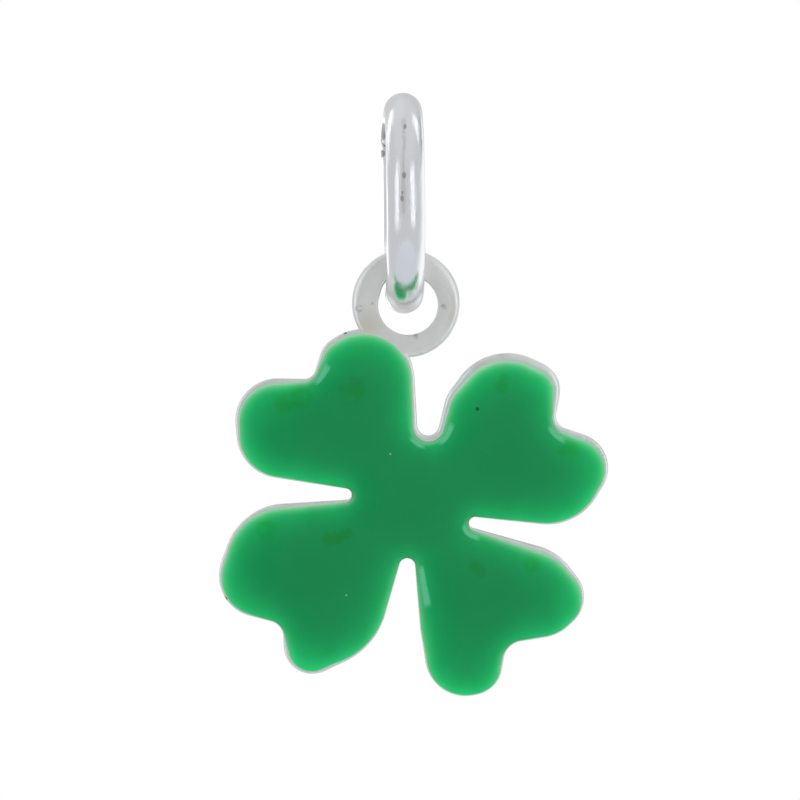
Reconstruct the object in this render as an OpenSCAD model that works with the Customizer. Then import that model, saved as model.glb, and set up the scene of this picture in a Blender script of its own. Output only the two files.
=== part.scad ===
// Four leaf clover pendant: a cast clover plate with its own eyelet,
// a domed enamel filling and the jump ring that it hangs from.
// X runs to the wearer's left, Y to the back and Z up, all in millimetres.
// The origin is the inside top of the jump ring, where a chain bears.

/* [Clover plate] */
// Width of the clover across its leaves
clover_w = 11.7; // [9:0.1:15]
// Thickness of the plate and its eyelet
plate_t = 1.1; // [0.9:0.05:1.5]
// Width of the bare metal rim where it is widest
rim_w = 0.3; // [0.15:0.01:0.4]

/* [Enamel] */
// Depth of the tray in the plate that holds the enamel
tray_depth = 0.3; // [0.1:0.05:0.5]
// Height of the domed enamel above the rim
dome_h = 0.36; // [0.15:0.01:0.6]
// Distance from its edge over which the enamel rises to full height
dome_run = 0.54; // [0.3:0.02:0.7]
// Gap all round between the enamel and its tray
enamel_gap = 0.015; // [0.01:0.005:0.03]

/* [Eyelet] */
// Outside diameter of the eyelet
eyelet_d = 3.24; // [2.8:0.02:4]
// Diameter of the hole through the eyelet
eyelet_hole_d = 1.8; // [1.6:0.02:2.2]
// Depth that the eyelet runs into the top leaf
eyelet_overlap = 0.52; // [0.3:0.02:0.8]
// Direction from the top lobe to the eyelet, up from level
eyelet_angle = 61; // [50:0.5:75]
// Bevel round the outer edges of the eyelet
eyelet_bevel = 0.12; // [0.05:0.01:0.2]
// Bevel round the edges of the eyelet's hole
hole_bevel = 0.06; // [0.02:0.01:0.12]
// Distance of the hole to the right of the eyelet's middle
hole_right = 0.06; // [0:0.01:0.12]
// Distance of the hole below the eyelet's middle
hole_down = 0.05; // [0:0.01:0.12]
// Diameter of the hollow that the wire has worn in the top of the hole
wear_d = 1.5; // [1.4:0.02:1.6]
// Height of that hollow above the round hole
wear_up = 0.09; // [0.04:0.01:0.12]
// Distance of that hollow to the left of the hole's middle
wear_left = 0.09; // [0.04:0.01:0.12]

/* [Jump ring] */
// Diameter of the jump ring's wire
wire_d = 1.14; // [0.8:0.02:1.2]
// Inside diameter of the jump ring
ring_inner_d = 4.36; // [3.8:0.02:6]
// Gap between the two ends of the wire
ring_cut = 0.14; // [0.05:0.01:0.3]
// Place of that gap at the back, up from level
cut_angle = 45; // [0:1:70]
// Turn of the jump ring about its upright diameter
ring_turn = 2; // [0:0.5:4]
// Running gap between the wire and the top of its hollow, at the eyelet's faces
hang_gap = 0.03; // [0.02:0.01:0.1]

/* [Hidden] */
$fn = 96;

// The outline is a belt round these circles, counterclockwise from the right slot.
// x and z: centre as a share of clover_w, from the middle of the clover
// r: radius as a share of clover_w
// bend: 1 round a lobe, -1 round a hollow
// rim: bare rim there as a share of rim_w
OUTLINE = [
    // slot on the right
    [0.166, -0.059, 0.015, -1, 0.2],
    // upper right leaf
    [0.351, 0.086, 0.149, 1, 0.55],
    [0.418, 0.082, 0.090, 1, 0.65],
    [0.406, 0.215, 0.032, -1, 0.6],
    [0.308, 0.280, 0.077, 1, 1],
    [0.249, 0.228, 0.149, 1, 1],
    [0.187, 0.223, 0.102, 1, 0.8],
    // slot at the top
    [0.046, 0.193, 0.028, -1, 0.7],
    // upper left leaf, with the lobe that carries the eyelet first
    [-0.120, 0.308, 0.131, 1, 0.6],
    [-0.164, 0.351, 0.071, 1, 0.6],
    [-0.272, 0.340, 0.029, -1, 0.35],
    [-0.341, 0.204, 0.108, 1, 0.65],
    [-0.330, 0.172, 0.116, 1, 0.55],
    // slot on the left
    [-0.166, 0.014, 0.015, -1, 0.2],
    // lower left leaf
    [-0.321, -0.169, 0.158, 1, 0.45],
    [-0.384, -0.194, 0.107, 1, 0.55],
    [-0.367, -0.351, 0.041, -1, 0.35],
    [-0.251, -0.372, 0.074, 1, 0.7],
    [-0.249, -0.241, 0.192, 1, 0.35],
    // slot at the bottom
    [-0.008, -0.170, 0.020, -1, 0.25],
    // lower right leaf
    [0.153, -0.313, 0.129, 1, 0.35],
    [0.142, -0.398, 0.105, 1, 0.45],
    [0.155, -0.419, 0.082, 1, 0.45],
    [0.291, -0.413, 0.051, -1, 0.45],
    [0.327, -0.238, 0.116, 1, 0.5],
    [0.362, -0.249, 0.084, 1, 0.5],
    [0.294, -0.262, 0.146, 1, 0.6]
];
EYELET_LOBE = 8;
// Share of a radius that the ends of the straight parts lie inside their circles
TUCK = 0.0005;
// Degrees that a lobe's arc runs on past its straight parts
LAP = 4;
// Degrees between the points of a faceted arc
ARC_STEP = 15;
// Dome sections: share of dome_run in from the edge, share of dome_h up
DOME = [[0, 0], [0.12, 0.42], [0.34, 0.72], [0.64, 0.92], [1, 1]];

// The jump ring and the place where the eyelet hangs on it
ring_r = (ring_inner_d + wire_d) / 2;
ring_z = -ring_inner_d / 2;
pivot_z = ring_z - ring_r;
cut_sweep = ring_cut / ring_r * 180 / PI;

// The wire curves up by this much between the eyelet's middle and its faces
wire_rise = ring_inner_d / 2 - sqrt(pow(ring_inner_d / 2, 2) - pow(plate_t / 2, 2));
wear_top = pivot_z + wire_d / 2 + wire_rise + hang_gap;
wear_at = [0, wear_top - wear_d / 2];
hole_at = [wear_left, wear_top - wear_up - eyelet_hole_d / 2];
eyelet_at = hole_at + [-hole_right, hole_down];

// The clover hangs from the eyelet by its top lobe
lobe = OUTLINE[EYELET_LOBE];
lobe_to_eyelet = lobe[2] * clover_w + eyelet_d / 2 - eyelet_overlap;
lobe_at = eyelet_at - lobe_to_eyelet * [cos(eyelet_angle), sin(eyelet_angle)];
clover_at = lobe_at - clover_w * [lobe[0], lobe[1]];

// Levels along Y, with the front at the low end
front_y = -plate_t / 2;
back_y = plate_t / 2;
tray_y = front_y + tray_depth;
// How far a cutting shape reaches past the faces
cut_past = 0.5;

count = len(OUTLINE);
smallest_lobe = min([for (c = OUTLINE) if (c[3] > 0) c[2] * clover_w]);
// The dome cannot reach further in than the smallest lobe lets it
least_top = 0.01;
run = min(dome_run, smallest_lobe - rim_w - enamel_gap - least_top);

// Centre, and radius once the outline is moved in by rim shares and an inset
function centre(i) = clover_w * [OUTLINE[i][0], OUTLINE[i][1]];
function bend(i) = OUTLINE[i][3];
function radius(i, rim, inset) =
    OUTLINE[i][2] * clover_w - bend(i) * (rim * OUTLINE[i][4] + inset);

// Direction of the outward normal on the straight from circle i to circle j
function normal_angle(i, j, rim, inset) =
    let (d = centre(j) - centre(i),
         step = bend(i) * radius(i, rim, inset) - bend(j) * radius(j, rim, inset))
    atan2(d[1], d[0]) - acos(step / norm(d));

function angle_in(i, rim, inset) = normal_angle((i + count - 1) % count, i, rim, inset);
function angle_out(i, rim, inset) = normal_angle(i, (i + 1) % count, rim, inset);
function point_at(i, angle, rim, inset) =
    centre(i) + bend(i) * radius(i, rim, inset) * [cos(angle), sin(angle)];

function wrap(angle) = (angle % 360 + 360) % 360;

// Turn of the outline round circle i, negative round a hollow
function turn(i, rim, inset) =
    let (a = angle_in(i, rim, inset), b = angle_out(i, rim, inset))
    bend(i) > 0 ? wrap(b - a) : -wrap(a - b);

// Corner points of the straight parts, with the centre of each hollow.
// They lie a hair inside their circles, so that line and arc cross and don't graze.
function corners(rim) = [
    for (i = [0:count - 1])
        let (c = centre(i),
             start = point_at(i, angle_in(i, rim, 0), rim, 0),
             end = point_at(i, angle_out(i, rim, 0), rim, 0),
             a = start + TUCK * (c - start),
             b = end + TUCK * (c - end))
        each bend(i) > 0 ? [a, b] : [a, c, b]
];

// The same outline as points along its arcs, the same number at every inset
function arc_points(rim, inset) = [
    for (i = [0:count - 1])
        let (steps = max(1, round(abs(turn(i, 0, 0)) / ARC_STEP)),
             start = angle_in(i, rim, inset),
             sweep = turn(i, rim, inset))
        for (k = [0:steps]) point_at(i, start + sweep * k / steps, rim, inset)
];

// Triangles that fill a flat outline: an ear is cut off until three points are left
function side(a, b, p) =
    (b[0] - a[0]) * (p[1] - a[1]) - (b[1] - a[1]) * (p[0] - a[0]);
function within(p, t) =
    side(t[0], t[1], p) > 0 && side(t[1], t[2], p) > 0 && side(t[2], t[0], p) > 0;
function corner(left, k) =
    let (n = len(left)) [left[(k + n - 1) % n], left[k], left[(k + 1) % n]];
function is_ear(pts, left, k) =
    let (t = [for (i = corner(left, k)) pts[i]])
    side(t[0], t[1], t[2]) > 0 && len([for (i = left) if (within(pts[i], t)) i]) == 0;
function first_ear(pts, left, k) =
    k == len(left) - 1 || is_ear(pts, left, k) ? k : first_ear(pts, left, k + 1);
function fill(pts, left) =
    let (k = first_ear(pts, left, 0))
    len(left) == 3 ? [left] : concat(
        [corner(left, k)],
        fill(pts, [for (i = [0:len(left) - 1]) if (i != k) left[i]])
    );

// The slice of circle i that the outline turns round, and a little past both ends
module lobe_slice(i, rim) {
    r = radius(i, rim, 0);
    start = angle_in(i, rim, 0) - LAP;
    sweep = turn(i, rim, 0) + 2 * LAP;
    // Far enough out that the straight sides of the wedge clear the arc
    reach = 1.2 * r / cos(sweep / 4);
    translate(centre(i))
        intersection() {
            circle(r = r);
            polygon([
                [0, 0],
                for (a = [start, start + sweep / 2, start + sweep])
                    reach * [cos(a), sin(a)]
            ]);
        }
}

// The outline with true arcs, as a flat shape
module clover_shape(rim = 0) {
    difference() {
        union() {
            polygon(corners(rim));
            for (i = [0:count - 1]) if (bend(i) > 0) lobe_slice(i, rim);
        }
        for (i = [0:count - 1])
            if (bend(i) < 0) translate(centre(i)) circle(r = radius(i, rim, 0));
    }
}

// Stands a flat shape up on the clover's place, from y0 back to y1
module upright(y0, y1) {
    translate([clover_at[0], y1, clover_at[1]])
        rotate([90, 0, 0])
            linear_extrude(y1 - y0) children();
}

// Disc with bevelled edges, its axis along Y
module eyelet_disc() {
    r = eyelet_d / 2;
    b = eyelet_bevel;
    translate([eyelet_at[0], 0, eyelet_at[1]])
        rotate([90, 0, 0])
            rotate_extrude()
                polygon([
                    [0, front_y], [r - b, front_y], [r, front_y + b],
                    [r, back_y - b], [r - b, back_y], [0, back_y]
                ]);
}

// Hole through the eyelet at a place, opened at both faces by a small bevel
module eyelet_hole(at, d) {
    r = d / 2;
    b = hole_bevel;
    translate([at[0], 0, at[1]])
        rotate([90, 0, 0]) {
            cylinder(r = r, h = plate_t + 2 * cut_past, center = true);
            translate([0, 0, plate_t / 2 - b]) cylinder(r1 = r, r2 = r + 2 * b, h = 2 * b);
            translate([0, 0, -plate_t / 2 - b]) cylinder(r1 = r + 2 * b, r2 = r, h = 2 * b);
        }
}

module clover_plate() {
    color([0.80, 0.80, 0.78])
        difference() {
            union() {
                upright(front_y, back_y) clover_shape();
                eyelet_disc();
            }
            upright(front_y - cut_past, tray_y) clover_shape(rim = rim_w);
            eyelet_hole(hole_at, eyelet_hole_d);
            eyelet_hole(wear_at, wear_d);
        }
}

// Enamel: a straight wall in the tray, then a dome of inset outlines
module enamel() {
    sections = concat(
        [[0, tray_y - enamel_gap]],
        [for (s = DOME) [s[0] * run, front_y - s[1] * dome_h]]
    );
    rings = [for (s = sections) arc_points(rim_w, enamel_gap + s[0])];
    points = [
        for (k = [0:len(rings) - 1])
            for (p = rings[k])
                [clover_at[0] + p[0], sections[k][1], clover_at[1] + p[1]]
    ];
    n = len(rings[0]);
    last = len(rings) - 1;
    round_once = [for (i = [0:n - 1]) i];
    floor_faces = fill(rings[0], round_once);
    top_faces = [
        for (t = fill(rings[last], round_once))
            [for (i = [2, 1, 0]) last * n + t[i]]
    ];
    walls = [
        for (k = [0:last - 1])
            for (i = round_once)
                let (j = (i + 1) % n)
                [k * n + j, k * n + i, (k + 1) * n + i, (k + 1) * n + j]
    ];
    color([0.13, 0.55, 0.32])
        polyhedron(points = points, faces = concat(floor_faces, top_faces, walls));
}

module jump_ring() {
    color([0.80, 0.82, 0.85])
        translate([0, 0, ring_z])
            rotate([0, 0, ring_turn + 90])
                rotate([90, 0, 0])
                    rotate([0, 0, cut_angle + cut_sweep / 2])
                        rotate_extrude(angle = 360 - cut_sweep)
                            translate([ring_r, 0]) circle(d = wire_d);
}

clover_plate();
enamel();
jump_ring();
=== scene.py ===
import math
from contextlib import contextmanager

import bmesh
import bpy
import numpy as np
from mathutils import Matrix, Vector


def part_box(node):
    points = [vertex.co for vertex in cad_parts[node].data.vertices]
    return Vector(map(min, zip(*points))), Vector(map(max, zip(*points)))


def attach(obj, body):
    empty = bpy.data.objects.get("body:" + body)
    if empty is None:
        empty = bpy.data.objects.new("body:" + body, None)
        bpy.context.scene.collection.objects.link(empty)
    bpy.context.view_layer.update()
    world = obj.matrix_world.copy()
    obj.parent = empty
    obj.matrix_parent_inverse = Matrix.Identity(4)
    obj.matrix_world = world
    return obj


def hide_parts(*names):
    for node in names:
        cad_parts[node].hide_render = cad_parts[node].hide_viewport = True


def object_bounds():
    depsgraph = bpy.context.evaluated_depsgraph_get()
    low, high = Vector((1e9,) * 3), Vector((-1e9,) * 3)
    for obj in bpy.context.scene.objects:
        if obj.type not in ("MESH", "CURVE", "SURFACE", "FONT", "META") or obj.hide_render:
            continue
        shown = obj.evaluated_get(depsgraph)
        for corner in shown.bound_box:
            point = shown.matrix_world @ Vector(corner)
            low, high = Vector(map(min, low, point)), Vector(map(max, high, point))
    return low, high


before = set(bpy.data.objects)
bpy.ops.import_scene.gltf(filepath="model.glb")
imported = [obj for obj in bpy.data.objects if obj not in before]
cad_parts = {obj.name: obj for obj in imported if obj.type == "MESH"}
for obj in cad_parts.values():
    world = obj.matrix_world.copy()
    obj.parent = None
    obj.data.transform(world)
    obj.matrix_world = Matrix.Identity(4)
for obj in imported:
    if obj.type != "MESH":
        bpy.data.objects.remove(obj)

bl_info = {
    "name": "Clover Pendant",
    "version": (1, 0, 0),
    "blender": (4, 5, 0),
    "location": "View3D > Sidebar > Clover",
    "description": "Builds an enamelled clover pendant on its jump ring, and the stage round it",
    "category": "Add Mesh",
}

# The frame's boxes, kept before anything is made. Pieces are shaped in millimetres.
MM = 1000.0
CAD_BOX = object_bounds()
PLATE_LOW, PLATE_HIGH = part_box("clover_plate")
RING_LOW, RING_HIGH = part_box("jump_ring")
PLATE_FRONT = PLATE_LOW.y * MM
PLATE_BACK = PLATE_HIGH.y * MM

# The clover's outline is a belt round these circles, counterclockwise from the right slot.
# x and z: centre as a share of the clover's width, r: radius as a share of it
# bend: 1 round a lobe, -1 round a hollow; rim: bare rim there as a share of the widest
OUTLINE = [
    # slot on the right
    (0.166, -0.059, 0.015, -1, 0.2),
    # upper right leaf
    (0.351, 0.086, 0.149, 1, 0.55),
    (0.418, 0.082, 0.090, 1, 0.65),
    (0.406, 0.215, 0.032, -1, 0.6),
    (0.308, 0.280, 0.077, 1, 1),
    (0.249, 0.228, 0.149, 1, 1),
    (0.187, 0.223, 0.102, 1, 0.8),
    # slot at the top
    (0.046, 0.193, 0.028, -1, 0.7),
    # upper left leaf, with the lobe that carries the eyelet first
    (-0.120, 0.308, 0.131, 1, 0.6),
    (-0.164, 0.351, 0.071, 1, 0.6),
    (-0.272, 0.340, 0.029, -1, 0.35),
    (-0.341, 0.204, 0.108, 1, 0.65),
    (-0.330, 0.172, 0.116, 1, 0.55),
    # slot on the left
    (-0.166, 0.014, 0.015, -1, 0.2),
    # lower left leaf
    (-0.321, -0.169, 0.158, 1, 0.45),
    (-0.384, -0.194, 0.107, 1, 0.55),
    (-0.367, -0.351, 0.041, -1, 0.35),
    (-0.251, -0.372, 0.074, 1, 0.7),
    (-0.249, -0.241, 0.192, 1, 0.35),
    # slot at the bottom
    (-0.008, -0.170, 0.020, -1, 0.25),
    # lower right leaf
    (0.153, -0.313, 0.129, 1, 0.35),
    (0.142, -0.398, 0.105, 1, 0.45),
    (0.155, -0.419, 0.082, 1, 0.45),
    (0.291, -0.413, 0.051, -1, 0.45),
    (0.327, -0.238, 0.116, 1, 0.5),
    (0.362, -0.249, 0.084, 1, 0.5),
    (0.294, -0.262, 0.146, 1, 0.6),
]


def clover_place():
    """The clover's width and the middle of it, in mm, worked out from the plate's own box."""
    lobes = [(x, z, r) for x, z, r, bend, _ in OUTLINE if bend > 0]
    left = min(x - r for x, _, r in lobes)
    right = max(x + r for x, _, r in lobes)
    bottom = min(z - r for _, z, r in lobes)
    width = (PLATE_HIGH.x - PLATE_LOW.x) * MM / (right - left)
    return width, np.array((PLATE_LOW.x * MM - left * width, PLATE_LOW.z * MM - bottom * width))


CLOVER_WIDTH, CLOVER_MIDDLE = clover_place()

# Small marks as x, z and radius in mm, seen from the front.
# Pits in the eyelet's face, from the eyelet's middle
PITS = [(-1.40, -0.16, 0.07), (-1.02, -0.02, 0.035), (1.12, -0.10, 0.055), (0.28, -1.00, 0.06)]
# Dark and pale specks under the enamel's gloss, from the clover's middle
DARK_SPECKS = [(2.01, 2.73, 0.035)]
PALE_SPECKS = [(-0.60, 1.38, 0.02), (-1.92, -2.85, 0.02)]
# Painted dark reflections: darker yellowish patches on the enamel, from the clover's middle
PAINTED_DARK_REFLECTIONS = [(-1.74, 3.30, 0.26), (-3.30, 3.06, 0.22), (-3.75, 2.92, 0.2), (2.76, 3.42, 0.14),
                 (2.78, 3.66, 0.1), (4.60, 1.56, 0.15), (4.90, 1.52, 0.14), (-4.32, -0.90, 0.2),
                 (-2.45, -1.17, 0.12), (-2.19, -1.14, 0.13), (-1.92, -1.00, 0.12),
                 (1.93, -1.98, 0.12), (2.15, -2.16, 0.11), (3.66, -1.92, 0.16)]
# Painted highlights where the enamel climbs to its edge, from the clover's middle
PAINTED_GLINTS = [(-2.55, 3.68, 0.22), (-2.68, 3.92, 0.15), (0.10, 1.56, 0.2), (1.08, 1.98, 0.22),
          (4.32, 1.89, 0.22), (1.80, -0.99, 0.2), (0.37, -2.30, 0.2), (0.42, -2.85, 0.22)]
# Painted reflections of something brown on the front of the wire, from the ring's middle
PAINTED_WIRE_REFLECTIONS = [(-0.03, 0.68, 0.04), (-0.09, 0.0, 0.035), (0.0, 2.16, 0.03), (-0.08, 0.17, 0.02)]
# Painted shade: dark brown marks on the wire's left side beside the cut, from the ring's middle
PAINTED_CUT_SHADE = [(-0.68, 2.36, 0.10), (-0.69, 2.16, 0.12), (-0.72, 1.60, 0.08)]
# Nicks in the rim, from the clover's middle
NICKS = [(-5.56, -2.97, 0.05), (-1.95, 5.02, 0.03)]

# Where the eyelet's bevel is wider: direction and reach in degrees, and added share
WIDER_BEVEL = [(38, 32, 1.1), (160, 28, 0.7)]
# The rim from the outside in: share of the way over it, and depth below its top as a share
# of its width
RIM_PROFILE = [(0.0, 0.40), (0.02, 0.33), (0.07, 0.25), (0.15, 0.17), (0.25, 0.105),
               (0.40, 0.045), (0.55, 0.012), (0.70, 0.0), (0.85, 0.008), (1.0, 0.03)]

# Soft lights in the tent: the glow that each adds, how much of it, and the middle, half
# width and soft edge of its azimuth, then of its height, in degrees
TENT_LIGHTS = [
    ("shoulder_glow", 1, -147, 3, 4, 10, 2, 3),
    ("shoulder_glow", 1, -134, 7, 6, 27, 9, 9),
    ("shoulder_glow", 1.2, -156, 14, 5, -3, 6.5, 2.5),
    ("shoulder_glow", 1, 122, 9, 7, 42, 8, 8),
    ("shoulder_glow", -0.3, 136, 8, 8, 20, 5, 5),
    ("strip_glow", 1, -54, 8, 6, 6, 20, 14),
    ("strip_glow", 1, 45, 9, 7, 6, 20, 14),
]


# Sizes and colours

def length(name, description, default, least=0.0):
    return bpy.props.FloatProperty(
        name=name, description=description, default=default, min=least,
        precision=6, unit="LENGTH", subtype="DISTANCE")


def angle(name, description, degrees):
    return bpy.props.FloatProperty(
        name=name, description=description, default=math.radians(degrees),
        subtype="ANGLE", unit="ROTATION")


def number(name, description, default):
    return bpy.props.FloatProperty(name=name, description=description, default=default, min=0.0)


def colour(name, description, default):
    return bpy.props.FloatVectorProperty(
        name=name, description=description, default=default, size=3, min=0.0, max=1.0,
        subtype="COLOR")


class PlateSizes(bpy.types.PropertyGroup):
    """Sizes of the silver plate and its eyelet"""
    rim_width: length("Rim width", "Width of the bare rim where it is widest", 0.00026)
    lap: length("Lap", "Width of rim that the enamel covers all round", 0.00005)
    sag: length("Sag", "Further width that it covers on the low sides", 0.00006)
    edge_round: length("Edge rounding", "Radius of the plate's back edge", 0.00009)
    tray_depth: length("Tray depth", "Depth of the tray that holds the enamel", 0.0003)
    eyelet_diameter: length("Eyelet diameter", "Outside diameter of the eyelet", 0.00324)
    eyelet_bevel: length("Eyelet bevel", "Width of the bevel round the eyelet", 0.00011)
    hole_diameter: length("Hole diameter", "Diameter of the eyelet's hole", 0.0018)
    hole_right: length("Hole right", "Hole's offset right of the eyelet's middle", 0.00006)
    hole_down: length("Hole down", "Hole's offset below the eyelet's middle", 0.00005)
    wear_diameter: length("Wear diameter", "Diameter of the hollow worn in its top", 0.0015)
    wear_up: length("Wear up", "Height of that hollow above the round hole", 0.00009)
    wear_left: length("Wear left", "Offset of that hollow to the left", 0.00009)


class EnamelSizes(bpy.types.PropertyGroup):
    """Sizes of the domed enamel"""
    edge_rise: length("Edge rise", "Height of the enamel beside its edge", 0.00002)
    crown: length("Crown", "Further height in the middle of the clover", 0.00019)
    crown_reach: length("Crown reach", "Distance over which the crown builds up", 0.0014)
    pool_rise: length("Pool rise", "Further height where enamel pools in a hollow", 0.00005)
    run: length("Run", "Distance in from its edge over which it rises", 0.00054)


class RingSizes(bpy.types.PropertyGroup):
    """Sizes of the jump ring"""
    wire_diameter: length("Wire diameter", "Diameter of the round wire", 0.00114)
    cut_gap: length("Cut gap", "Gap between the wire's two ends", 0.00014)
    cut_angle: angle("Cut angle", "Place of the cut at the back, up from level", 45)
    turn: angle("Turn", "Turn of the ring about its upright diameter", 1.4)
    lean: angle("Lean", "Lean of the ring's top to the left", 0.5)
    shift: length("Shift", "Offset of the ring's middle to the left", 0.000045)
    end_step: length("End step", "How far the cut's ends stand out to the left", 0.00006)


class Colours(bpy.types.PropertyGroup):
    """Colours of the finishes"""
    rim_silver: colour("Rim silver", "Burnished silver of the rim", (0.93, 0.95, 0.94))
    # The enamel's reflection in the rim, painted as a colour
    painted_enamel_reflection: colour("Green silver", "Silver that mirrors the enamel", (0.66, 0.92, 0.74))
    cast_silver: colour("Cast silver", "Silver of the eyelet and the back", (0.96, 0.97, 0.97))
    worn_silver: colour("Worn silver", "Duller patches of the silver", (0.86, 0.86, 0.83))
    mottled_silver: colour("Mottled silver", "Mottling of the eyelet", (0.93, 0.92, 0.89))
    warm_silver: colour("Warm silver", "Yellowed silver beside the enamel", (0.80, 0.78, 0.66))
    ring_silver: colour("Ring silver", "Silver of the jump ring", (0.93, 0.94, 0.95))
    # Real tarnish, and also the brown of the ring's painted shade and painted reflections
    tarnish_shade_and_reflection: colour("Tarnish", "Brown left in the cut and in pits", (0.10, 0.06, 0.04))
    enamel_deep: colour("Deep enamel", "Enamel over the middle of a leaf", (0.001, 0.200, 0.056))
    enamel_thin: colour("Thin enamel", "Enamel that thins to its edge", (0.010, 0.700, 0.190))
    enamel_edge: colour("Enamel edge", "Milky enamel beside the silver", (0.68, 0.86, 0.68))
    # Tint of the painted dark reflections on the enamel
    dark_reflection_tint: colour("Olive enamel", "Tint of the yellowish patches", (0.75, 0.92, 0.62))
    # Colour of the painted highlights in the hollows
    painted_glint_colour: colour("Enamel glint", "Milky glints in the hollows", (0.16, 0.60, 0.36))
    # Painted shade round a slot's end
    slot_shade_colour: colour("Enamel in a slot", "Dark line round a slot's end", (0.004, 0.060, 0.014))
    enamel_speck: colour("Enamel speck", "Dark specks in the enamel", (0.004, 0.012, 0.008))
    pale_speck: colour("Pale speck", "Pale specks in the enamel", (0.25, 0.50, 0.35))
    floor: colour("Floor", "Pale floor", (0.80, 0.83, 0.87))
    tent: colour("Tent", "White tent round the pendant", (0.97, 0.985, 1.0))


class StageSettings(bpy.types.PropertyGroup):
    """Camera, floor and light"""
    lens: number("Lens", "Focal length of the camera, in mm", 200.0)
    picture_width: length("Picture width", "Width that the picture shows", 0.024)
    aim_x: length("Aim X", "Middle of the picture along X", -0.000150, -1.0)
    aim_z: length("Aim Z", "Middle of the picture along Z", -0.008105, -1.0)
    floor_drop: length("Floor drop", "Height of the pendant above the floor", 0.03)
    floor_radius: length("Floor radius", "Radius of the pale floor", 0.055)
    tent_front: number("Tent front", "Brightness of the tent in front", 0.60)
    tent_left: number("Tent left", "Brightness behind and to the left", 0.64)
    tent_right: number("Tent right", "Brightness low down on the right", 1.02)
    tent_top: number("Tent top", "Brightness overhead", 0.66)
    shoulder_glow: number("Shoulder glow", "Added where light falls in from behind", 0.5)
    strip_glow: number("Strip glow", "Added along the two tall strips in front", 0.48)
    slit_shade: number("Slit shade", "Share lost in the slit overhead", 0.45)
    opening_shade: number("Opening shade", "Share lost in the opening in front", 0.25)
    fill_glow: number("Fill glow", "Brightness of the soft fill light", 1.2)
    fill_size: length("Fill size", "Width of the round fill light", 0.3)
    fill_far: length("Fill distance", "Distance from the pendant to that light", 0.3)


# The outline as points

def belt_normals(circles):
    """Angle of the outward normal on the straight from each circle to the next."""
    angles = []
    for (x1, z1, r1, b1), (x2, z2, r2, b2) in zip(circles, circles[1:] + circles[:1]):
        dx, dz = x2 - x1, z2 - z1
        step = (b1 * r1 - b2 * r2) / math.hypot(dx, dz)
        angles.append(math.atan2(dz, dx) - math.acos(step))
    return angles


def belt_turn(bend, start, end):
    """Turn of the belt round one circle, negative round a hollow."""
    if bend > 0:
        return (end - start) % math.tau
    return -((start - end) % math.tau)


def belt_circles(rim):
    """The outline's circles in mm, moved in by the rim."""
    return [(x * CLOVER_WIDTH, z * CLOVER_WIDTH, r * CLOVER_WIDTH - bend * rim * edge, bend)
            for x, z, r, bend, edge in OUTLINE]


def touch(circle, at):
    """The point of a circle that the belt touches where its outward normal has an angle."""
    x, z, r, bend = circle
    normal = np.array((math.cos(at), math.sin(at)))
    return np.array((x, z)) + bend * r * normal, normal


def belt(rim, spacing=0.07, sharpest=math.radians(9), straights=1.6):
    """The outline moved in by its rim, in mm: points, outward normals and share of hollow.

    Every rim gives the same number of points, so that outlines can be joined one to the next.
    On straights the points are that many times as far apart.
    """
    bare, circles = belt_circles(0.0), belt_circles(rim)
    bare_angles, angles = belt_normals(bare), belt_normals(circles)
    points, normals, hollow = [], [], []
    for i, circle in enumerate(circles):
        bend, following = circle[3], (i + 1) % len(circles)
        whole = abs(belt_turn(bend, bare_angles[i - 1], bare_angles[i]))
        steps = max(2, math.ceil(whole * bare[i][2] / spacing), math.ceil(whole / sharpest))
        sweep = belt_turn(bend, angles[i - 1], angles[i])
        for k in range(steps + 1):
            point, normal = touch(circle, angles[i - 1] + sweep * k / steps)
            points.append(point)
            normals.append(normal)
            hollow.append(float(bend < 0))
        run = touch(bare[following], bare_angles[i])[0] - touch(bare[i], bare_angles[i])[0]
        pieces = max(1, math.ceil(np.linalg.norm(run) / (straights * spacing)))
        there, normal = touch(circles[following], angles[i])
        here = points[-1]
        for k in range(1, pieces):
            along = k / pieces
            points.append(here + along * (there - here))
            normals.append(normal)
            hollow.append((1 - along) * (bend < 0) + along * (circles[following][3] < 0))
    return np.array(points), np.array(normals), np.array(hollow)


def enamel_outline(sizes, least=-0.25, most=0.74, passes=8):
    """The plate's outline, the enamel's, its outward normals and share of hollow.

    The enamel has sagged, so more of the rim is bare on the high sides of the leaves. It
    covers a share of the rim from the least to the most.
    """
    outer = belt(0.0)[0]
    inner, normals, hollow = belt(sizes.rim_width * MM)
    over = (sizes.lap - sizes.sag * normals[:, 1]) * MM
    share = np.clip(over / np.linalg.norm(outer - inner, axis=1), least, most)
    covered = smooth_round(share, passes)[:, None]
    return outer, inner + covered * (outer - inner), normals, hollow


def smooth_round(values, passes):
    """A closed row of numbers, each evened out with its neighbours."""
    for _ in range(passes):
        values = (np.roll(values, 1) + 2 * values + np.roll(values, -1)) / 4
    return values


def inside_outline(outline, grid_x, grid_z):
    """Which points of a grid lie inside the outline."""
    inside = np.zeros(grid_x.shape, bool)
    for a, b in zip(outline, np.roll(outline, -1, axis=0)):
        if a[1] != b[1]:
            crosses = (grid_z < a[1]) != (grid_z < b[1])
            at = a[0] + (grid_z - a[1]) / (b[1] - a[1]) * (b[0] - a[0])
            inside ^= crosses & (grid_x < at)
    return inside


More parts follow.
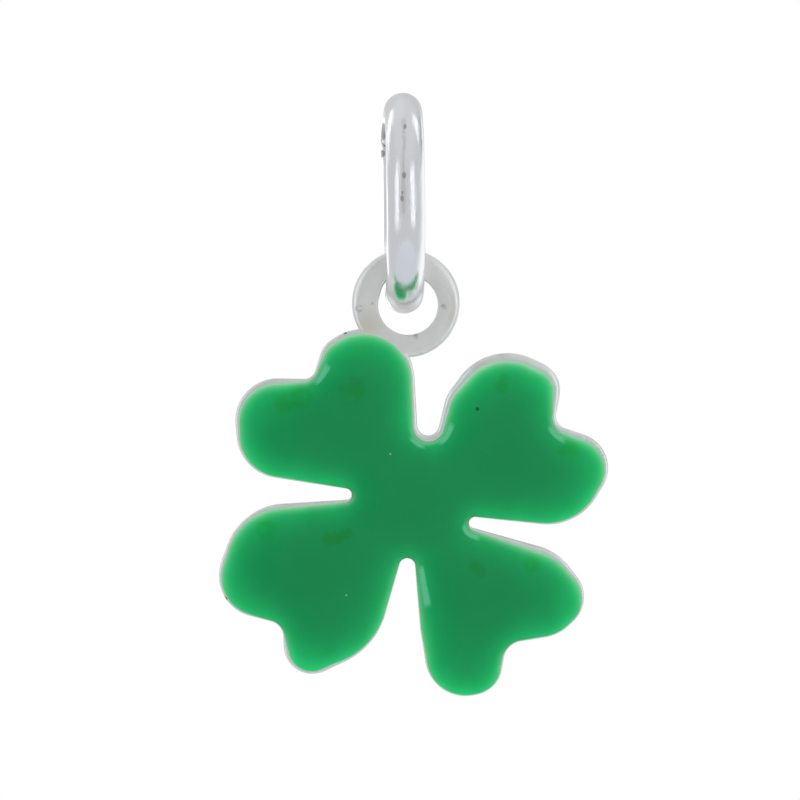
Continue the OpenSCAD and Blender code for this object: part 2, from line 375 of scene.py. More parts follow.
def crown_shape(outline, reach, cell=0.09, rounds=400):
    """A soft dome over the outline, as a function of x and z that gives 0 to 1.

    It is the shape of a skin that is blown up inside the outline and held by its edge.
    """
    low = outline.min(0) - 2 * cell
    count = np.ceil((outline.max(0) + 2 * cell - low) / cell).astype(int) + 1
    grid_x, grid_z = np.meshgrid(*(low[i] + cell * np.arange(count[i]) for i in (0, 1)),
                                 indexing="ij")
    inside = inside_outline(outline, grid_x, grid_z)
    height = np.zeros(grid_x.shape)
    pressure = (cell / reach) ** 2
    for _ in range(rounds):
        around = sum(np.roll(height, step, axis) for axis in (0, 1) for step in (1, -1))
        height = np.where(inside, (around + pressure) / (4 + pressure), 0.0)
    height /= height.max()

    def at(x, z):
        """The height between the grid's four nearest points."""
        u = np.clip((x - low[0]) / cell, 0, count[0] - 1.001)
        v = np.clip((z - low[1]) / cell, 0, count[1] - 1.001)
        i, j = u.astype(int), v.astype(int)
        u, v = u - i, v - j
        return ((1 - u) * (1 - v) * height[i, j] + u * (1 - v) * height[i + 1, j]
                + (1 - u) * v * height[i, j + 1] + u * v * height[i + 1, j + 1])

    return at


# Modelling steps

# What vertices keep: the share across the rim or the enamel's edge, the share of hollow,
# the enamel's depth, and how far up their side of a leaf faces
SHARES = ("across", "hollow", "depth", "upward")


def clear_selection():
    if bpy.context.object and bpy.context.object.mode != "OBJECT":
        bpy.ops.object.mode_set(mode="OBJECT")
    bpy.ops.object.select_all(action="DESELECT")


@contextmanager
def editing(piece):
    """Lends the mesh of the piece that is in edit mode, and takes over its changes."""
    mesh = bmesh.from_edit_mesh(piece.data)
    yield mesh
    bmesh.update_edit_mesh(piece.data)


def choose(piece):
    """Makes the piece the only selected object."""
    clear_selection()
    piece.select_set(True)
    bpy.context.view_layer.objects.active = piece


def new_circle(name, vertices, radius, location=(0, 0, 0), fill="NOTHING"):
    clear_selection()
    bpy.ops.mesh.primitive_circle_add(vertices=vertices, radius=radius, location=location,
                                      fill_type=fill)
    piece = bpy.context.object
    piece.name = piece.data.name = name
    return piece


def start_loop(name, points, y):
    """A circle primitive whose vertices are put on the points of a first loop, in mm."""
    piece = new_circle(name, len(points), 5.0)
    for share in SHARES:
        piece.data.attributes.new(share, "FLOAT", "POINT")
    place = piece.data.attributes.new("place", "INT", "POINT")
    for i, (vertex, (x, z)) in enumerate(zip(piece.data.vertices, points)):
        vertex.co = (x, y, z)
        place.data[i].value = i
    bpy.ops.object.mode_set(mode="EDIT")
    bpy.ops.mesh.select_mode(type="VERT")
    bpy.ops.mesh.select_all(action="SELECT")
    return piece


def add_loop(piece, points, y, across=0.0):
    """Extrudes the selected loop and puts the new one on its own points."""
    bpy.ops.mesh.extrude_edges_move()
    heights = np.broadcast_to(y, len(points))
    with editing(piece) as mesh:
        place = mesh.verts.layers.int["place"]
        share_across = mesh.verts.layers.float["across"]
        for vertex in mesh.verts:
            if vertex.select:
                k = vertex[place]
                vertex.co = (points[k][0], heights[k], points[k][1])
                vertex[share_across] = across


def select_open_ends(piece):
    """Selects the loops that have faces on one side alone."""
    bpy.ops.mesh.select_mode(type="EDGE")
    bpy.ops.mesh.select_all(action="DESELECT")
    with editing(piece) as mesh:
        for edge in mesh.edges:
            edge.select_set(edge.is_boundary)


def close_loop(slack=0.001):
    """Closes the selected loop with one face and cuts that into triangles."""
    def selected_area():
        mesh = bmesh.from_edit_mesh(bpy.context.object.data)
        return sum(face.calc_area() for face in mesh.faces if face.select)

    bpy.ops.mesh.edge_face_add()
    before = selected_area()
    bpy.ops.mesh.quads_convert_to_tris(quad_method="BEAUTY", ngon_method="BEAUTY")
    if abs(selected_area() - before) > slack * before:
        raise RuntimeError("The closing face doesn't fit its outline")


def turn_outward():
    bpy.ops.mesh.select_all(action="SELECT")
    bpy.ops.mesh.normals_make_consistent(inside=False)


def close_ends(piece):
    """Closes the selected loop and the open one at the piece's other end."""
    close_loop()
    select_open_ends(piece)
    close_loop()
    turn_outward()


def combine(piece, other, operation):
    """Joins the other solid to the piece, or cuts it out of it."""
    choose(piece)
    step = piece.modifiers.new(other.name, "BOOLEAN")
    step.operation, step.object, step.solver = operation, other, "EXACT"
    bpy.ops.object.modifier_apply(modifier=step.name)
    bpy.data.objects.remove(other)


def finish_piece(piece, materials, body, node, middle, smooth_up_to):
    """Moves the piece into place in metres and hands it to the frame."""
    choose(piece)
    bpy.ops.object.mode_set(mode="EDIT")
    turn_outward()
    bpy.ops.object.mode_set(mode="OBJECT")
    piece.location = (middle[0] / MM, 0, middle[1] / MM)
    piece.scale = (1 / MM,) * 3
    bpy.ops.object.transform_apply(location=True, rotation=True, scale=True)
    bpy.ops.object.shade_smooth_by_angle(angle=smooth_up_to)
    for material in materials:
        piece.data.materials.append(material)
    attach(piece, body)
    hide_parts(node)


def fill_finely(piece, longest, rounds=8):
    """Closes the selected loop with triangles and splits them until no edge is too long."""
    close_loop()
    with editing(piece) as mesh:
        band = mesh.faces.layers.int.new("band")
        for face in mesh.faces:
            face[band] = int(not face.select)
    for _ in range(rounds):
        bpy.ops.mesh.select_all(action="DESELECT")
        with editing(piece) as mesh:
            band = mesh.faces.layers.int["band"]
            too_long = [edge for edge in mesh.edges if edge.calc_length() > longest
                        and all(face[band] == 0 for face in edge.link_faces)]
            for edge in too_long:
                edge.select_set(True)
        if not too_long:
            break
        bpy.ops.mesh.subdivide(number_cuts=1)
        bpy.ops.mesh.select_mode(type="FACE")
        with editing(piece) as mesh:
            band = mesh.faces.layers.int["band"]
            for face in mesh.faces:
                face.select_set(face[band] == 0)
        bpy.ops.mesh.quads_convert_to_tris(quad_method="BEAUTY", ngon_method="BEAUTY")
        bpy.ops.mesh.beautify_fill(angle_limit=math.pi)
        bpy.ops.mesh.select_mode(type="VERT")


# Finishes

def put(value, socket):
    """Links a value to a socket if it comes from a node, and sets it otherwise."""
    if isinstance(value, bpy.types.NodeSocket):
        socket.id_data.links.new(value, socket)
    else:
        socket.default_value = (*value, 1.0) if socket.type == "RGBA" else value


def add_node(tree, kind, inputs=None, **settings):
    """A shader node with its settings and its inputs."""
    node = tree.nodes.new("ShaderNode" + kind)
    for key, value in settings.items():
        setattr(node, key, value)
    for key, value in (inputs or {}).items():
        put(value, node.inputs[key])
    return node


def next_node(kind, inputs, **settings):
    """A shader node that takes over values, in the tree that they come from."""
    sockets = (value for value in inputs.values() if isinstance(value, bpy.types.NodeSocket))
    return add_node(next(sockets).id_data, kind, inputs, **settings)


def kept(material, share):
    """A share that the piece keeps on its vertices."""
    return add_node(material.node_tree, "Attribute", attribute_name=share).outputs["Fac"]


def math_node(operation, *values):
    return next_node("Math", dict(enumerate(values)), operation=operation).outputs[0]


def joined_by(operation):
    """A function that joins any number of values, from the first to the last."""
    def join(result, *values):
        for value in values:
            result = math_node(operation, result, value)
        return result

    return join


times, plus = joined_by("MULTIPLY"), joined_by("ADD")
minus, highest = joined_by("SUBTRACT"), joined_by("MAXIMUM")


def graded(value, low, high, to_low=0.0, to_high=1.0):
    """The value eased from one range to another."""
    return next_node("MapRange", {
        "Value": value, "From Min": low, "From Max": high, "To Min": to_low, "To Max": to_high,
    }, interpolation_type="SMOOTHSTEP").outputs["Result"]


def band_about(value, middle, half, soft):
    """1 where the value is near the middle, easing to 0 past half the band's width."""
    off = math_node("ABSOLUTE", minus(value, middle))
    return graded(off, half, half + soft, 1.0, 0.0)


def blended(factor, first, second, how="MIX"):
    """The first colour mixed with the second, or multiplied by it, up to the factor."""
    return next_node("Mix", {"Factor": factor, 6: first, 7: second},
                     data_type="RGBA", blend_type=how).outputs[2]


def new_finish(name, metallic=0.0):
    """A material with an empty Principled surface and the place on the piece in mm."""
    material = bpy.data.materials.new(name)
    material.use_nodes = True
    tree = material.node_tree
    tree.nodes.clear()
    surface = add_node(tree, "BsdfPrincipled", {"Metallic": metallic})
    next_node("OutputMaterial", {"Surface": surface.outputs["BSDF"]})
    place = next_node("Mapping", {"Vector": add_node(tree, "TexCoord").outputs["Object"],
                                  "Scale": (MM, MM, MM)})
    return material, surface, place.outputs["Vector"]


def noise(place, scale, detail=3.0, roughness=0.5, stretch=(1.0, 1.0, 1.0)):
    """Noise from 0 to 1. The scale is in grains per mm."""
    stretched = next_node("Mapping", {"Vector": place, "Scale": stretch})
    return next_node("TexNoise", {
        "Vector": stretched.outputs["Vector"], "Scale": scale, "Detail": detail,
        "Roughness": roughness}).outputs["Fac"]


def from_point(place, centre, stretch=(1.0, 1.0, 1.0)):
    """The place measured from a point in mm, stretched along the axes."""
    moved = next_node("VectorMath", {0: place, 1: centre}, operation="SUBTRACT").outputs[0]
    return next_node("VectorMath", {0: moved, 1: stretch}, operation="MULTIPLY").outputs[0]


def on_front(middle, x=0.0, z=0.0):
    """A point on the plate's front, given from a middle in mm."""
    return middle[0] + x, PLATE_FRONT, middle[1] + z


def distance_from(place, centre, stretch=(1.0, 1.0, 1.0)):
    away = from_point(place, centre, stretch)
    return next_node("VectorMath", {0: away}, operation="LENGTH").outputs["Value"]


def near(place, centre, radius, soft, stretch=(1.0, 1.0, 1.0)):
    """1 within a radius of a point in mm, easing to 0 over the soft distance."""
    away = distance_from(place, centre, stretch)
    return graded(away, radius, radius + soft, 1.0, 0.0)


def marks(place, middle, rows, y, stretch=(1.0, 0.3, 1.0)):
    """The mask of a list of small marks round the middle of their piece."""
    return highest(*(near(place, (middle[0] + x, y, middle[1] + z), r, r, stretch)
                     for x, z, r in rows))


def cover(surface, base, shine, height, depth):
    """Gives a surface its colour, its roughness and a bump for a depth in mm."""
    bump = next_node("Bump", {"Height": height, "Strength": 1.0, "Distance": depth / MM})
    for key, value in (("Base Color", base), ("Roughness", shine),
                       ("Normal", bump.outputs["Normal"])):
        put(value, surface.inputs[key])


def make_cast_silver(colours, sizes):
    """Cast silver of the eyelet and the back, softly polished.

    The eyelet is mottled and pitted, warmer beside the enamel, and has a groove on the right.
    """
    material, surface, place = new_finish("cast_silver", 1.0)
    eyelet = eyelet_places(sizes)[0] + CLOVER_MIDDLE
    patches = noise(place, 1.3, 3.0, 0.55)
    grain = noise(place, 4.0, 4.0, 0.6)
    pits = times(marks(place, eyelet, PITS, PLATE_FRONT), graded(noise(place, 8.0), 0.32, 0.60))
    base = blended(graded(patches, 0.25, 0.90), colours.cast_silver, colours.worn_silver)
    mottled = times(graded(grain, 0.36, 0.62), near(place, on_front(eyelet), 1.3, 0.9), 0.55)
    base = blended(mottled, base, colours.mottled_silver)
    warm = near(place, on_front(eyelet, -1.05, -0.62), 0.1, 0.6)
    out = distance_from(place, on_front(eyelet))
    groove = times(band_about(out, 1.40, 0.02, 0.09),
                   near(place, on_front(eyelet, 1.38, -0.25), 0.2, 0.75), 0.45)
    base = blended(highest(times(warm, 0.7), groove), base, colours.warm_silver)
    base = blended(times(pits, 0.4), base, colours.tarnish_shade_and_reflection)
    height = plus(times(grain, 0.30), times(patches, 0.35), times(mottled, -0.6),
                  times(pits, -0.8), times(groove, -0.8))
    cover(surface, base, graded(grain, 0.3, 0.7, 0.32, 0.42), height, 0.012)
    return material


def make_rim_silver(colours):
    """Burnished silver of the rim and edges, with file marks round one lobe and a painted
    reflection of the enamel near the tray.
    """
    material, surface, place = new_finish("rim_silver", 1.0)
    filed_lobe = OUTLINE[2]
    lobe = [CLOVER_MIDDLE[i] + filed_lobe[i] * CLOVER_WIDTH for i in (0, 1)]
    x, _, z = next_node("SeparateXYZ", {0: from_point(place, on_front(lobe))}).outputs
    round_lobe = times(math_node("ARCTAN2", z, x), 14.0)
    lines = noise(next_node("CombineXYZ", {0: round_lobe}).outputs[0], 1.0, 2.0)
    filed = near(place, on_front(lobe, 0.75, 0.70), 0.35, 0.5)
    patches = noise(place, 1.6, 3.0)
    scuffs = noise(place, 6.0, 3.0, 0.5, stretch=(1.0, 3.0, 1.0))
    nicks = marks(place, CLOVER_MIDDLE, NICKS, PLATE_FRONT)
    base = blended(graded(patches, 0.40, 0.70), colours.rim_silver, colours.worn_silver)
    # Painted reflection of the enamel over the rim's inner part
    base = blended(graded(kept(material, "across"), 0.35, 0.95), base, colours.painted_enamel_reflection)
    filed_lines = times(filed, graded(lines, 0.42, 0.56), 0.13)
    base = blended(highest(times(nicks, 0.8), filed_lines), base, colours.tarnish_shade_and_reflection)
    height = plus(times(scuffs, 0.4), times(filed, lines, 3.5), times(nicks, -1.5))
    cover(surface, base, graded(scuffs, 0.3, 0.7, 0.28, 0.40), height, 0.012)
    return material


def make_polished_wire(colours, sizes):
    """Polished wire of the jump ring, drawn along its length and brown at the cut, with painted
    shade beside the cut and painted reflections on its front.
    """
    material, surface, place = new_finish("polished_wire", 1.0)
    radius, middle = ring_radius(sizes), ring_middle()
    patches = noise(place, 0.9, 2.0)
    drawn = noise(place, 3.0, 3.0, 0.6, stretch=(6.0, 0.6, 0.6))
    cut = (middle[0], radius * math.cos(sizes.cut_angle),
           middle[1] + radius * math.sin(sizes.cut_angle))
    stain = times(near(place, cut, 0.30, 0.55, (0.4, 1.0, 1.0)),
                  graded(noise(place, 3.0), 0.36, 0.58))
    # Painted shade of the wire's ends beside the cut
    painted_cut_shade = marks(place, middle, PAINTED_CUT_SHADE, 0.7 * radius, (1.0, 0.08, 1.0))
    back = next_node("SeparateXYZ", {0: place}).outputs[1]
    # Painted reflections of something brown on the wire's front, only where it faces forward
    painted_reflections = times(marks(place, middle, PAINTED_WIRE_REFLECTIONS, -radius, (1.0, 0.0, 0.6)),
                  graded(back, -1.0, 0.0, 1.0, 0.0))
    # Brown: tarnish in the cut, with painted shade beside it and painted reflections on the front
    brown = highest(times(stain, 0.3), times(painted_reflections, 0.5), times(painted_cut_shade, 0.75))
    base = blended(brown, colours.ring_silver, colours.tarnish_shade_and_reflection)
    shine = plus(graded(patches, 0.3, 0.7, 0.10, 0.17), times(brown, 0.3))
    height = plus(drawn, times(patches, 2.0))
    cover(surface, base, shine, height, 0.008)
    return material


def make_glossy_enamel(colours):
    """Green enamel: deep in the middle, brighter where it thins, milky at its edge."""
    material, surface, place = new_finish("glossy_enamel")
    across, hollow, depth, upward = (kept(material, share) for share in SHARES)

    def seen_at(rows):
        """The mask of a list of marks on the enamel, at any depth."""
        return marks(place, CLOVER_MIDDLE, rows, PLATE_FRONT, (1.0, 0.0, 1.0))

    # Light fades in the enamel with its depth, so the green darkens fast and then slowly
    cloud = minus(noise(place, 1.1, 4.0), 0.5)
    deeper = plus(depth, times(cloud, 0.22), times(hollow, 0.06))
    thin = math_node("POWER", math.e, times(deeper, -2.5))
    base = blended(thin, colours.enamel_deep, colours.enamel_thin)
    # Painted dark reflections: yellowish patches that darken the green
    painted_dark_reflection = times(seen_at(PAINTED_DARK_REFLECTIONS), graded(noise(place, 2.2), 0.30, 0.52))
    base = blended(painted_dark_reflection, base, colours.dark_reflection_tint, "MULTIPLY")
    # The milky edge fades inwards and is palest on the high sides of the leaves
    inwards = times(across, plus(1.0, times(hollow, -0.5)), -7.5)
    milky = times(math_node("POWER", math.e, inwards), plus(0.27, times(upward, 0.25)),
                  graded(across, 0.4, 0.9, 1.0, 0.0))
    base = blended(milky, base, colours.enamel_edge)
    # Painted highlights: pale soft patches near the edge in the hollows
    painted_glint = times(seen_at(PAINTED_GLINTS), band_about(across, 0.58, 0.12, 0.22), 0.65)
    base = blended(painted_glint, base, colours.painted_glint_colour)
    # Painted shade: a dark line round the end of each slot
    painted_slot_shade = times(graded(hollow, 0.80, 1.0), band_about(across, 0.06, 0.05, 0.10), 0.5)
    base = blended(painted_slot_shade, base, colours.slot_shade_colour)
    for specks, tint in ((DARK_SPECKS, colours.enamel_speck), (PALE_SPECKS, colours.pale_speck)):
        base = blended(times(seen_at(specks), 0.8), base, tint)
    put(0.25, surface.inputs["Specular IOR Level"])
    cover(surface, base, 0.10, noise(place, 0.7, 2.0), 0.03)
    return material


# Pieces

def ring_radius(sizes):
    """Radius of the jump ring's centreline, in mm."""
    return ((RING_HIGH.z - RING_LOW.z) - sizes.wire_diameter) * MM / 2


def ring_middle():
    """X and Z of the jump ring's middle, in mm."""
    middle = (RING_LOW + RING_HIGH) / 2 * MM
    return middle.x, middle.z


def eyelet_places(sizes):
    """Middle of the eyelet, of its hole and of the worn hollow, from the clover's middle."""
    hole_x = ring_middle()[0] + sizes.wear_left * MM
    eyelet_z = PLATE_HIGH.z * MM - sizes.eyelet_diameter * MM / 2
    eyelet = np.array((hole_x - sizes.hole_right * MM, eyelet_z)) - CLOVER_MIDDLE
    hole = eyelet + np.array((sizes.hole_right, -sizes.hole_down)) * MM
    rise = sizes.wear_up + (sizes.hole_diameter - sizes.wear_diameter) / 2
    return eyelet, hole, hole + np.array((-sizes.wear_left, rise)) * MM


def polar_points(middle, radii):
    """Points all round a middle, one at each of the radii."""
    angles = np.arange(len(radii)) * math.tau / len(radii)
    return np.array(middle) + radii[:, None] * np.stack((np.cos(angles), np.sin(angles)), 1)


def hole_radii(sizes, count, passes=6):
    """Distance from the hole's middle to its wall, with the hollow that the wire has worn."""
    _, hole, wear = eyelet_places(sizes)
    angles = np.arange(count) * math.tau / count
    along = (wear - hole) @ np.stack((np.cos(angles), np.sin(angles)))
    off = (wear - hole) @ (wear - hole)
    worn = along + np.sqrt((sizes.wear_diameter * MM / 2) ** 2 - off + along ** 2)
    return smooth_round(np.maximum(sizes.hole_diameter * MM / 2, worn), passes)


class MakePlate(bpy.types.Operator):
    """Makes the silver plate with its rim, tray and eyelet"""
    bl_idname = "clover.make_plate"
    bl_label = "Clover plate"

    def execute(self, context):
        sizes = context.scene.clover_plate_sizes
        colours = context.scene.clover_colours
        outer, inner, normals, _ = enamel_outline(sizes)
        plate = self.make_leaves(sizes, outer, normals, inner)
        eyelet = self.make_eyelet(sizes)
        over_the_rim = outer + 0.55 * (inner - outer)
        combine(eyelet, self.make_cutter(over_the_rim), "DIFFERENCE")
        combine(plate, eyelet, "UNION")
        finish_piece(plate, [make_rim_silver(colours), make_cast_silver(colours, sizes)],
                     "clover", "clover_plate", CLOVER_MIDDLE, math.radians(35))
        self.part_finishes(plate, sizes)
        return {"FINISHED"}

    def make_leaves(self, sizes, outer, normals, inner):
        """The plate from the back's edge, out, along the wall, over the rim to the tray."""
        soft = sizes.edge_round * MM
        plate = start_loop("clover_plate_silver", outer - normals * soft, PLATE_BACK)
        for degrees in (22.5, 45, 67.5, 90):
            a = math.radians(degrees)
            add_loop(plate, outer - normals * soft * (1 - math.sin(a)),
                     PLATE_BACK - soft * (1 - math.cos(a)))
        for wall_y in (0.3, 0.0, -0.3):
            add_loop(plate, outer, wall_y)
        width = np.linalg.norm(inner - outer, axis=1)
        for share, drop in RIM_PROFILE:
            add_loop(plate, outer + share * (inner - outer), PLATE_FRONT + drop * width, share)
        add_loop(plate, inner, PLATE_FRONT + sizes.tray_depth * MM, 1.0)
        close_ends(plate)
        return plate

    def make_eyelet(self, sizes, count=192):
        """The bevelled washer with its worn hole."""
        middle, hole, _ = eyelet_places(sizes)
        angles = np.arange(count) * math.tau / count
        wider = sum((share * np.exp(-((angles - math.radians(at)) / math.radians(reach)) ** 2)
                     for at, reach, share in WIDER_BEVEL), 1)
        bevel = sizes.eyelet_bevel * MM * wider
        outside = np.full(count, sizes.eyelet_diameter * MM / 2)
        wall = hole_radii(sizes, count)

        # Over the bevel: share of its width in, and share of its depth down
        loops = [(polar_points(middle, outside - bevel * share), sizes.eyelet_bevel * MM * down)
                 for share, down in ((0.0, 1.0), (0.22, 0.58), (0.55, 0.24), (0.95, 0.05),
                                     (1.3, 0.0))]
        # Into the hole: distance out from its wall and down from the face, in mm
        loops += [(polar_points(hole, wall + out), down)
                  for out, down in ((0.06, 0.0), (0.03, 0.006), (0.01, 0.018), (0.0, 0.04))]
        eyelet = start_loop("eyelet", polar_points(middle, outside), 0.0)
        for points, down in loops:
            add_loop(eyelet, points, PLATE_FRONT + down)
        for points, down in reversed(loops):
            add_loop(eyelet, points, PLATE_BACK - down)
        select_open_ends(eyelet)
        bpy.ops.mesh.bridge_edge_loops()
        turn_outward()
        return eyelet

    def make_cutter(self, tray):
        """A block as wide as the tray, which keeps the eyelet out of the leaf's inside."""
        in_front, short_of_back = 1.0, 0.3
        cutter = start_loop("cutter", tray, PLATE_FRONT - in_front)
        add_loop(cutter, tray, PLATE_BACK - short_of_back)
        close_ends(cutter)
        return cutter

    def part_finishes(self, plate, sizes):
        """Gives the eyelet's faces and the plate's back the cast finish."""
        eyelet = (eyelet_places(sizes)[0] + CLOVER_MIDDLE) / MM
        for face in plate.data.polygons:
            x, y, z = face.center
            on_eyelet = math.hypot(x - eyelet[0], z - eyelet[1]) < sizes.eyelet_diameter / 2
            face.material_index = int(on_eyelet or y > 0.9 * PLATE_HIGH.y)


class MakeEnamel(bpy.types.Operator):
    """Makes the domed enamel that fills the tray"""
    bl_idname = "clover.make_enamel"
    bl_label = "Enamel"

    def execute(self, context):
        sizes = context.scene.clover_enamel_sizes
        plate = context.scene.clover_plate_sizes
        colours = context.scene.clover_colours
        _, edge, normals, hollow = enamel_outline(plate)
        # In a hollow the enamel pools, and its edge rises twice as steeply
        pool = smooth_round(hollow, 24)
        run = sizes.run * MM * (1 - 0.5 * pool)
        crown = crown_shape(edge, sizes.crown_reach * MM)
        # The enamel meets the rim a little below its top and bites into it
        meet_y, bite, side = PLATE_FRONT + 0.008, 0.006, 0.02

        def height(points, rise):
            x, z = np.array(points).T
            return rise * (sizes.edge_rise + sizes.crown * crown(x, z)) * MM

        off_the_floor = 0.01
        floor_y = PLATE_FRONT + plate.tray_depth * MM - off_the_floor
        enamel = start_loop("enamel_green", edge - bite * normals, floor_y)
        add_loop(enamel, edge - bite * normals, meet_y + side)
        rounds, crowding, longest_edge = 16, 1.5, 0.28
        for k in range(rounds + 1):
            across = (k / rounds) ** crowding
            points = edge + (bite - across * run[:, None]) * normals
            # The pool's swell is 1 at its highest, a third of the way across
            swell = 6.75 * across * (1 - across) ** 2
            pooled = sizes.pool_rise * MM * pool * swell
            rise = 1 - (1 - across) ** 3
            add_loop(enamel, points, meet_y - height(points, rise) - pooled, across)
        fill_finely(enamel, longest_edge)
        self.raise_cap(enamel, meet_y, height)
        self.note_shape(enamel, pool, normals[:, 1], crown)
        select_open_ends(enamel)
        close_loop()
        finish_piece(enamel, [make_glossy_enamel(colours)], "clover",
                     "enamel", CLOVER_MIDDLE, math.radians(70))
        return {"FINISHED"}

    def raise_cap(self, enamel, meet_y, height):
        """Puts the vertices inside the last loop on the crown."""
        with editing(enamel) as mesh:
            band = mesh.faces.layers.int["band"]
            across = mesh.verts.layers.float["across"]
            inner = [v for v in mesh.verts if all(f[band] == 0 for f in v.link_faces)]
            rises = height([(v.co.x, v.co.z) for v in inner], 1.0)
            for vertex, rise in zip(inner, rises):
                vertex.co.y = meet_y - rise
                vertex[across] = 1.0

    def note_shape(self, enamel, pool, rising, crown):
        """Keeps on each vertex its share of hollow, depth and how far up its side faces."""
        with editing(enamel) as mesh:
            place = mesh.verts.layers.int["place"]
            across, hollow, depth, upward = (mesh.verts.layers.float[share] for share in SHARES)
            x, z = np.array([(vertex.co.x, vertex.co.z) for vertex in mesh.verts]).T
            for vertex, deep in zip(mesh.verts, crown(x, z)):
                vertex[hollow] = pool[vertex[place]] * (1 - vertex[across])
                vertex[depth] = deep
                vertex[upward] = rising[vertex[place]]


class MakeJumpRing(bpy.types.Operator):
    """Makes the jump ring of round wire with its straight cut"""
    bl_idname = "clover.make_jump_ring"
    bl_label = "Jump ring"

    def execute(self, context):
        sizes = context.scene.clover_ring_sizes
        colours = context.scene.clover_colours
        radius, wire = ring_radius(sizes), sizes.wire_diameter * MM / 2
        middle = ring_middle()
        sweep = sizes.cut_gap * MM / radius
        start = sizes.cut_angle + sweep / 2
        round_wire, round_ring, end_bevel = 48, 224, 0.035
        ring = new_circle("jump_ring_silver", round_wire, wire)
        bpy.ops.object.mode_set(mode="EDIT")
        bpy.ops.mesh.select_all(action="SELECT")
        bpy.ops.transform.translate(value=(0, radius, 0))
        bpy.ops.transform.rotate(value=-start, orient_axis="X", center_override=(0, 0, 0))
        bpy.ops.mesh.spin(steps=round_ring, angle=math.tau - sweep, center=(0, 0, 0),
                          axis=(1, 0, 0))
        self.bend_ends(ring, sizes)
        select_open_ends(ring)
        bpy.ops.mesh.edge_face_add()
        with editing(ring) as mesh:
            for face in mesh.faces:
                face.select_set(len(face.verts) > 4)
        bpy.ops.mesh.bevel(offset=end_bevel, segments=3, affect="EDGES")
        choose(ring)
        ring.rotation_euler = (0, -sizes.lean, sizes.turn)
        bpy.ops.object.transform_apply(location=True, rotation=True, scale=True)
        finish_piece(ring, [make_polished_wire(colours, sizes)], "ring",
                     "jump_ring", (middle[0] - sizes.shift * MM, middle[1]), math.radians(50))
        return {"FINISHED"}

    def bend_ends(self, ring, sizes, reach=0.3):
        """Lets both ends at the cut stand out to the left, easing off along the wire."""
        with editing(ring) as mesh:
            for vertex in mesh.verts:
                away = sizes.cut_angle - math.atan2(vertex.co.z, vertex.co.y)
                vertex.co.x -= sizes.end_step * MM * math.exp(-(away / reach) ** 2)


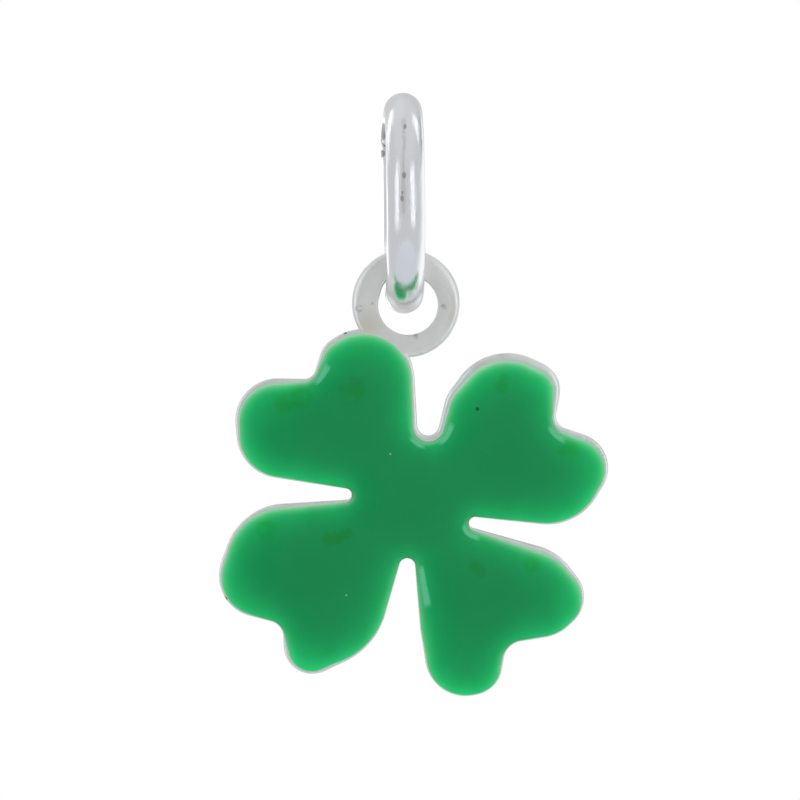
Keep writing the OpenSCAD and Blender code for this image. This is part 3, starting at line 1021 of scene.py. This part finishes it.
class MakeStage(bpy.types.Operator):
    """Makes the floor, the soft light and the camera"""
    bl_idname = "clover.make_stage"
    bl_label = "Stage"

    def execute(self, context):
        settings = context.scene.clover_stage
        colours = context.scene.clover_colours
        self.make_floor(settings, colours)
        self.make_tent(context.scene, settings, colours)
        self.make_fill(context.scene, settings)
        self.make_camera(context.scene, settings)
        return {"FINISHED"}

    def make_floor(self, settings, colours):
        height = CAD_BOX[0].z - settings.floor_drop
        floor = new_circle("pale_floor", 96, settings.floor_radius, (0, 0, height), "NGON")
        bpy.ops.object.transform_apply(location=True, rotation=True, scale=True)
        material, surface, _ = new_finish("pale_floor")
        put(colours.floor, surface.inputs["Base Color"])
        put(0.7, surface.inputs["Roughness"])
        floor.data.materials.append(material)

    def make_tent(self, scene, settings, colours):
        """A white tent with soft lights, a bright right side, a dim slit and a dim opening.

        Azimuth runs from the front round to the right. The camera sees plain white instead.
        """
        world = bpy.data.worlds.new("white_tent")
        scene.world = world
        world.use_nodes = True
        tree = world.node_tree
        tree.nodes.clear()
        towards = add_node(tree, "TexCoord").outputs["Generated"]
        x, y, z = next_node("SeparateXYZ", {0: towards}).outputs
        azimuth = times(math_node("ARCTAN2", x, times(y, -1.0)), 180 / math.pi)
        height = times(math_node("ARCSINE", z), 180 / math.pi)

        front = settings.tent_front
        left_back = times(graded(azimuth, -128.0, -112.0, 1.0, 0.0), settings.tent_left - front)
        right = times(graded(azimuth, 86.0, 132.0), graded(azimuth, 150.0, 172.0, 1.0, 0.0),
                      graded(height, 11.0, 17.0, 1.0, 0.0), settings.tent_right - front)
        top = times(graded(height, 30.0, 50.0), settings.tent_top - front)
        lights = [times(band_about(azimuth, *place[:3]), band_about(height, *place[3:]),
                        share * getattr(settings, glow)) for glow, share, *place in TENT_LIGHTS]
        slit = times(band_about(x, -0.06, 0.03, 0.06), graded(height, 48.0, 58.0),
                     graded(y, 0.0, 0.2, 1.0, 0.0), settings.slit_shade)
        opening = times(band_about(azimuth, -14.0, 6.0, 6.0),
                        band_about(height, 22.0, 30.0, 10.0), settings.opening_shade)
        shade = minus(1.0, highest(slit, opening))
        glow = times(plus(front, left_back, right, top, *lights), shade)

        seen = add_node(tree, "LightPath").outputs["Is Camera Ray"]
        strength = next_node("Mix", {"Factor": seen, 2: glow, 3: 1.0}, data_type="FLOAT")
        tint = blended(seen, colours.tent, (1.0, 1.0, 1.0))
        light = next_node("Background", {"Color": tint, "Strength": strength.outputs[0]})
        next_node("OutputWorld", {"Surface": light.outputs["Background"]})

    def make_fill(self, scene, settings):
        """A soft light in front and above. The silver and the gloss don't mirror it."""
        lamp = bpy.data.lights.new("fill_light", "AREA")
        lamp.shape, lamp.size = "DISK", settings.fill_size
        lamp.energy = settings.fill_glow * math.pi * (math.pi / 4) * settings.fill_size ** 2
        light = bpy.data.objects.new("fill_light", lamp)
        aim, towards = Vector((0, 0, settings.aim_z)), Vector((0.25, -1.0, 0.45))
        light.location = aim + settings.fill_far * towards.normalized()
        light.rotation_euler = (aim - light.location).to_track_quat("-Z", "Y").to_euler()
        light.visible_camera = light.visible_glossy = False
        scene.collection.objects.link(light)

    def make_camera(self, scene, settings):
        lens = bpy.data.cameras.new("camera")
        lens.lens = settings.lens
        lens.clip_start, lens.clip_end = 0.001, 10.0
        camera = bpy.data.objects.new("camera", lens)
        far = settings.picture_width * lens.lens / lens.sensor_width
        camera.location = (settings.aim_x, PLATE_LOW.y - far, settings.aim_z)
        camera.rotation_euler = (math.radians(90), 0, 0)
        scene.collection.objects.link(camera)
        scene.camera = camera
        scene.view_settings.view_transform = "Standard"


class CLOVER_PT_panel(bpy.types.Panel):
    """Lists the pendant's sizes and the steps that build it"""
    bl_label = "Clover pendant"
    bl_idname = "CLOVER_PT_panel"
    bl_space_type = "VIEW_3D"
    bl_region_type = "UI"
    bl_category = "Clover"

    def draw(self, context):
        layout = self.layout
        for group in GROUPS:
            box = layout.box()
            settings = getattr(context.scene, group)
            for key in settings.bl_rna.properties.keys():
                if key not in ("rna_type", "name"):
                    box.prop(settings, key)
        for operator in OPERATORS:
            layout.operator(operator.bl_idname)


GROUPS = {
    "clover_plate_sizes": PlateSizes,
    "clover_enamel_sizes": EnamelSizes,
    "clover_ring_sizes": RingSizes,
    "clover_colours": Colours,
    "clover_stage": StageSettings,
}
OPERATORS = (MakePlate, MakeEnamel, MakeJumpRing, MakeStage)


def register():
    for made in (*GROUPS.values(), *OPERATORS, CLOVER_PT_panel):
        bpy.utils.register_class(made)
    for name, group in GROUPS.items():
        setattr(bpy.types.Scene, name, bpy.props.PointerProperty(type=group))


def unregister():
    for name in GROUPS:
        delattr(bpy.types.Scene, name)
    for made in (*GROUPS.values(), *OPERATORS, CLOVER_PT_panel):
        bpy.utils.unregister_class(made)


def main():
    register()
    bpy.ops.clover.make_plate()
    bpy.ops.clover.make_enamel()
    bpy.ops.clover.make_jump_ring()
    bpy.ops.clover.make_stage()


if __name__ == "__main__":
    main()
